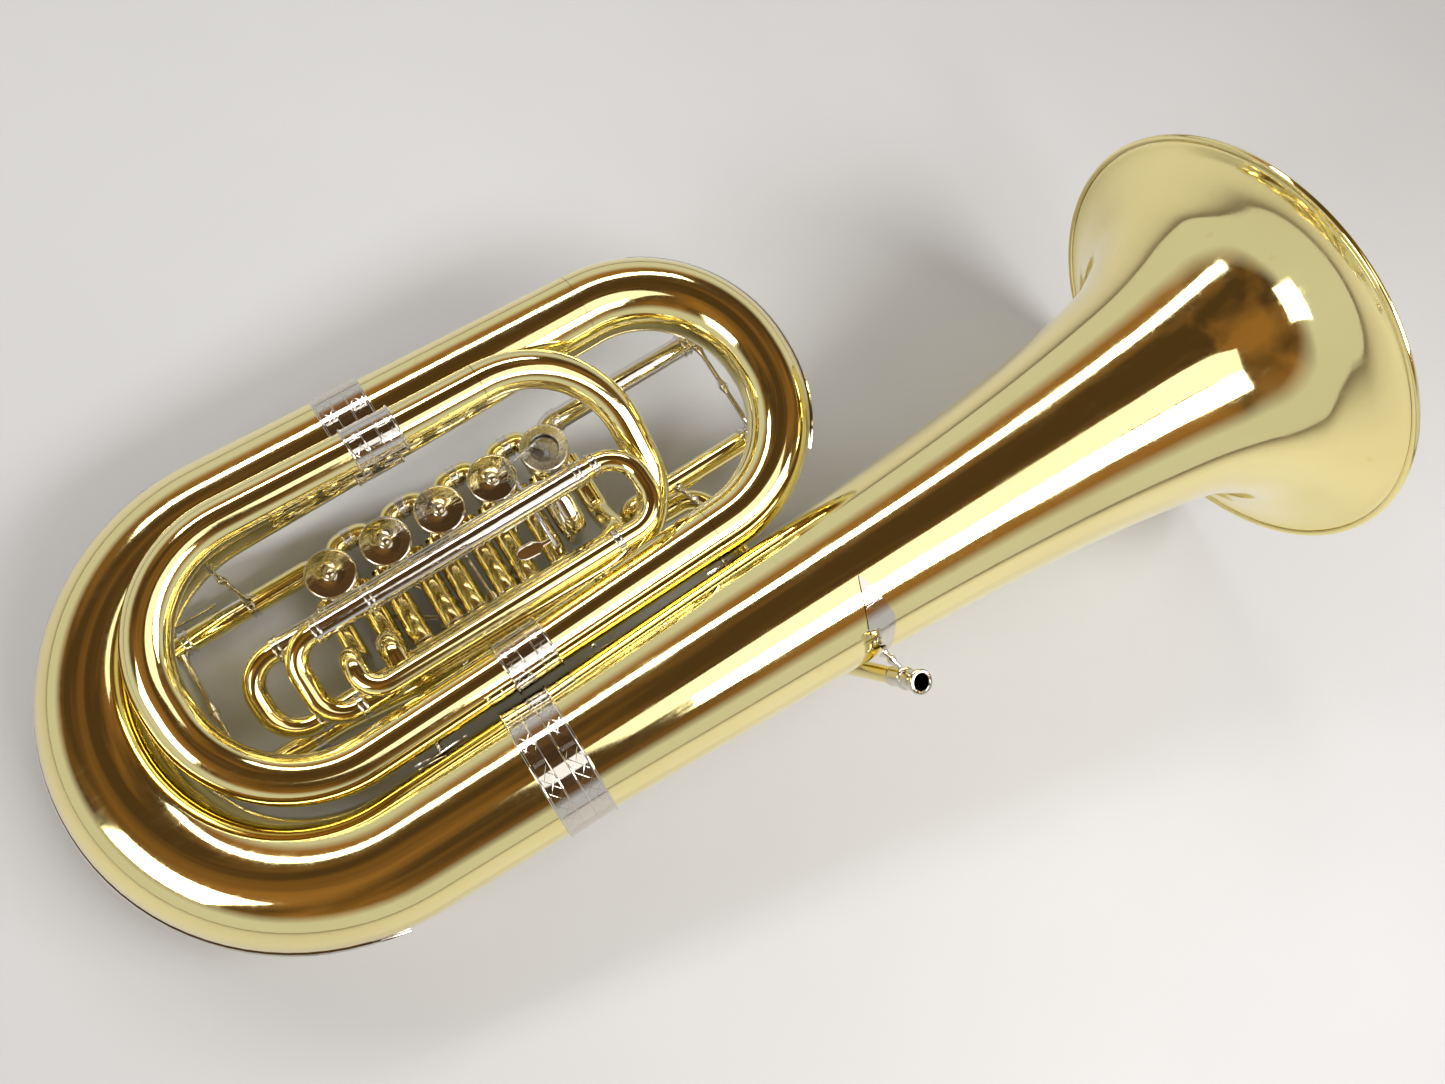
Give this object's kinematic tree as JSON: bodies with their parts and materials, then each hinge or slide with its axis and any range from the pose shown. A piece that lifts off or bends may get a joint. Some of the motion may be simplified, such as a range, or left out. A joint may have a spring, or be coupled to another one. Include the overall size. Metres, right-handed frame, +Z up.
{
  "type": "rotary-valve tuba",
  "caption": "Brass tuba with rotary valves worked by finger and thumb levers, drawable tuning slides and a wide bell, lying on its side.",
  "frame": {"origin": "middle of the bounding box in X and Y, on the floor the tuba lies on", "axes": "+Z up from the floor; +X along the floor towards the bell's mouth, 8.3 degrees below the bell's axis; +Y from the bell across the body towards the valves"},
  "size_m": [1.1034, 0.5842, 0.4156],
  "materials": {
    "lacquered_brass": "polished and lacquered",
    "nickel_silver": "polished nickel silver",
    "rotor_steel": "fine turned"
  },
  "bodies": {
    "horn": {"bell": "lacquered_brass", "bell_rim_wire": "lacquered_brass", "bottom_bow": "lacquered_brass", "first_branch": "lacquered_brass", "top_bow": "lacquered_brass", "second_branch": "lacquered_brass", "inner_bottom_bow": "lacquered_brass", "third_branch": "lacquered_brass", "inner_top_bow": "lacquered_brass", "valve_1_loop": "lacquered_brass", "valve_1_return": "lacquered_brass", "valve_5_lower_leg": "lacquered_brass", "main_slide_upper_leg": "lacquered_brass", "fourth_branch": "lacquered_brass", "leadpipe": "lacquered_brass", "valve_casing_1": "lacquered_brass", "valve_casing_2": "lacquered_brass", "valve_casing_3": "lacquered_brass", "valve_casing_4": "lacquered_brass", "valve_casing_5": "lacquered_brass", "bottom_bow_guard": "nickel_silver", "top_bow_guard": "nickel_silver", "bell_garland": "nickel_silver", "first_branch_garland": "nickel_silver", "second_branch_garland": "nickel_silver", "third_branch_garland": "nickel_silver", "valve_1_upper_leg": "nickel_silver", "valve_5_upper_leg": "nickel_silver", "lead_slide_upper_leg": "nickel_silver", "mouthpiece_receiver": "nickel_silver", "receiver_brace": "nickel_silver", "valve_cap_1": "nickel_silver", "valve_cap_2": "nickel_silver", "valve_cap_3": "nickel_silver", "valve_cap_4": "nickel_silver", "valve_cap_5": "nickel_silver", "lever_axle": "rotor_steel"},
    "rotor_1": {"rotor_1": "rotor_steel"},
    "rotor_2": {"rotor_2": "rotor_steel"},
    "rotor_3": {"rotor_3": "rotor_steel"},
    "rotor_4": {"rotor_4": "rotor_steel"},
    "rotor_5": {"rotor_5": "rotor_steel"},
    "lever_1": {"lever_1": "nickel_silver"},
    "lever_2": {"lever_2": "nickel_silver"},
    "lever_3": {"lever_3": "nickel_silver"},
    "lever_4": {"lever_4": "nickel_silver"},
    "link_rod_1": {"link_rod_1": "rotor_steel"},
    "link_rod_2": {"link_rod_2": "rotor_steel"},
    "link_rod_3": {"link_rod_3": "rotor_steel"},
    "link_rod_4": {"link_rod_4": "rotor_steel"},
    "link_rod_5": {"link_rod_5": "rotor_steel"},
    "thumb_lever": {"thumb_lever": "nickel_silver"},
    "main_tuning_slide": {"main_tuning_slide": "lacquered_brass"},
    "lead_tuning_slide": {"lead_tuning_slide": "nickel_silver"},
    "water_key": {"water_key": "nickel_silver"},
    "valve_slide_1": {"valve_slide_1": "lacquered_brass"},
    "valve_slide_2": {"valve_slide_2": "lacquered_brass"},
    "valve_slide_3": {"valve_slide_3": "lacquered_brass"},
    "valve_slide_4": {"valve_slide_4": "lacquered_brass"},
    "valve_slide_5": {"valve_slide_5": "lacquered_brass"}
  },
  "joints": [
    {"name": "lever_1_press", "type": "hinge", "parent": "horn", "child": "lever_1", "pos_m": [-0.28239, 0.13193, 0.04985], "axis": [-0.9896, 0, -0.1439], "range_deg": [0, 16.26], "stiffness_Nm_per_rad": 0.5, "springref_deg": -17.19},
    {"name": "rotor_1_turn", "type": "hinge", "parent": "horn", "child": "rotor_1", "pos_m": [-0.28009, 0.16314, 0.03402], "axis": [0.1439, 0, -0.9896], "range_deg": [0, 90]},
    {"name": "link_rod_1_pivot", "type": "hinge", "parent": "lever_1", "child": "link_rod_1", "pos_m": [-0.27663, 0.13759, 0.01027], "axis": [-0.9896, 0, -0.1439], "range_deg": [-16.27, 0]},
    {"name": "lever_2_press", "type": "hinge", "parent": "horn", "child": "lever_2", "pos_m": [-0.22857, 0.13193, 0.05768], "axis": [-0.9896, 0, -0.1439], "range_deg": [0, 16.26], "stiffness_Nm_per_rad": 0.5, "springref_deg": -17.19},
    {"name": "rotor_2_turn", "type": "hinge", "parent": "horn", "child": "rotor_2", "pos_m": [-0.22627, 0.16428, 0.04185], "axis": [0.1439, 0, -0.9896], "range_deg": [0, 90]},
    {"name": "link_rod_2_pivot", "type": "hinge", "parent": "lever_2", "child": "link_rod_2", "pos_m": [-0.22281, 0.13759, 0.0181], "axis": [-0.9896, 0, -0.1439], "range_deg": [-16.27, 0]},
    {"name": "lever_3_press", "type": "hinge", "parent": "horn", "child": "lever_3", "pos_m": [-0.17475, 0.13193, 0.06551], "axis": [-0.9896, 0, -0.1439], "range_deg": [0, 16.26], "stiffness_Nm_per_rad": 0.5, "springref_deg": -17.19},
    {"name": "rotor_3_turn", "type": "hinge", "parent": "horn", "child": "rotor_3", "pos_m": [-0.17244, 0.16541, 0.04967], "axis": [0.1439, 0, -0.9896], "range_deg": [0, 90]},
    {"name": "link_rod_3_pivot", "type": "hinge", "parent": "lever_3", "child": "link_rod_3", "pos_m": [-0.16899, 0.13759, 0.02592], "axis": [-0.9896, 0, -0.1439], "range_deg": [-16.27, 0]},
    {"name": "lever_4_press", "type": "hinge", "parent": "horn", "child": "lever_4", "pos_m": [-0.12092, 0.13193, 0.07333], "axis": [-0.9896, 0, -0.1439], "range_deg": [0, 16.26], "stiffness_Nm_per_rad": 0.5, "springref_deg": -17.19},
    {"name": "rotor_4_turn", "type": "hinge", "parent": "horn", "child": "rotor_4", "pos_m": [-0.11862, 0.16655, 0.0575], "axis": [0.1439, 0, -0.9896], "range_deg": [0, 90]},
    {"name": "link_rod_4_pivot", "type": "hinge", "parent": "lever_4", "child": "link_rod_4", "pos_m": [-0.11517, 0.13759, 0.03375], "axis": [-0.9896, 0, -0.1439], "range_deg": [-16.27, 0]},
    {"name": "thumb_lever_press", "type": "hinge", "parent": "horn", "child": "thumb_lever", "pos_m": [-0.11158, 0.12194, 0.11006], "axis": [0, -1, 0], "range_deg": [0, 31.25], "stiffness_Nm_per_rad": 0.5, "springref_deg": -17.19},
    {"name": "rotor_5_turn", "type": "hinge", "parent": "horn", "child": "rotor_5", "pos_m": [-0.0648, 0.16769, 0.06533], "axis": [0.1439, 0, -0.9896], "range_deg": [0, 90]},
    {"name": "link_rod_5_pivot", "type": "hinge", "parent": "thumb_lever", "child": "link_rod_5", "pos_m": [-0.11415, 0.16593, 0.08847], "axis": [0, -1, 0], "range_deg": [-31.26, 0]},
    {"name": "main_tuning_slide_draw", "type": "slide", "parent": "horn", "child": "main_tuning_slide", "axis": [-0.9894, -0.019, -0.1439], "range_m": [0, 0.04]},
    {"name": "lead_tuning_slide_draw", "type": "slide", "parent": "horn", "child": "lead_tuning_slide", "axis": [0.9893, 0.0258, 0.1439], "range_m": [0, 0.03]},
    {"name": "valve_slide_1_draw", "type": "slide", "parent": "horn", "child": "valve_slide_1", "axis": [-0.9894, -0.0207, -0.1439], "range_m": [0, 0.017]},
    {"name": "valve_slide_5_draw", "type": "slide", "parent": "horn", "child": "valve_slide_5", "axis": [-0.9894, -0.0207, -0.1439], "range_m": [0, 0.025]},
    {"name": "valve_slide_2_draw", "type": "slide", "parent": "horn", "child": "valve_slide_2", "axis": [0, -1, 0], "range_m": [0, 0.025]},
    {"name": "valve_slide_3_draw", "type": "slide", "parent": "horn", "child": "valve_slide_3", "axis": [0, -1, 0], "range_m": [0, 0.025]},
    {"name": "valve_slide_4_draw", "type": "slide", "parent": "horn", "child": "valve_slide_4", "axis": [0, -1, 0], "range_m": [0, 0.025]},
    {"name": "water_key_lift", "type": "hinge", "parent": "main_tuning_slide", "child": "water_key", "pos_m": [-0.42684, 0.19611, 0.01268], "axis": [-0.1439, 0, 0.9896], "range_deg": [0, 8], "stiffness_Nm_per_rad": 0.1, "springref_deg": -11.46}
  ],
  "couplings": [
    {"joint": "lever_1_press", "follows": "rotor_1_turn", "ratio": 0.18067},
    {"joint": "link_rod_1_pivot", "follows": "rotor_1_turn", "ratio": -0.18067},
    {"joint": "lever_2_press", "follows": "rotor_2_turn", "ratio": 0.18067},
    {"joint": "link_rod_2_pivot", "follows": "rotor_2_turn", "ratio": -0.18067},
    {"joint": "lever_3_press", "follows": "rotor_3_turn", "ratio": 0.18067},
    {"joint": "link_rod_3_pivot", "follows": "rotor_3_turn", "ratio": -0.18067},
    {"joint": "lever_4_press", "follows": "rotor_4_turn", "ratio": 0.18067},
    {"joint": "link_rod_4_pivot", "follows": "rotor_4_turn", "ratio": -0.18067},
    {"joint": "thumb_lever_press", "follows": "rotor_5_turn", "ratio": 0.34727},
    {"joint": "link_rod_5_pivot", "follows": "rotor_5_turn", "ratio": -0.34727}
  ]
}
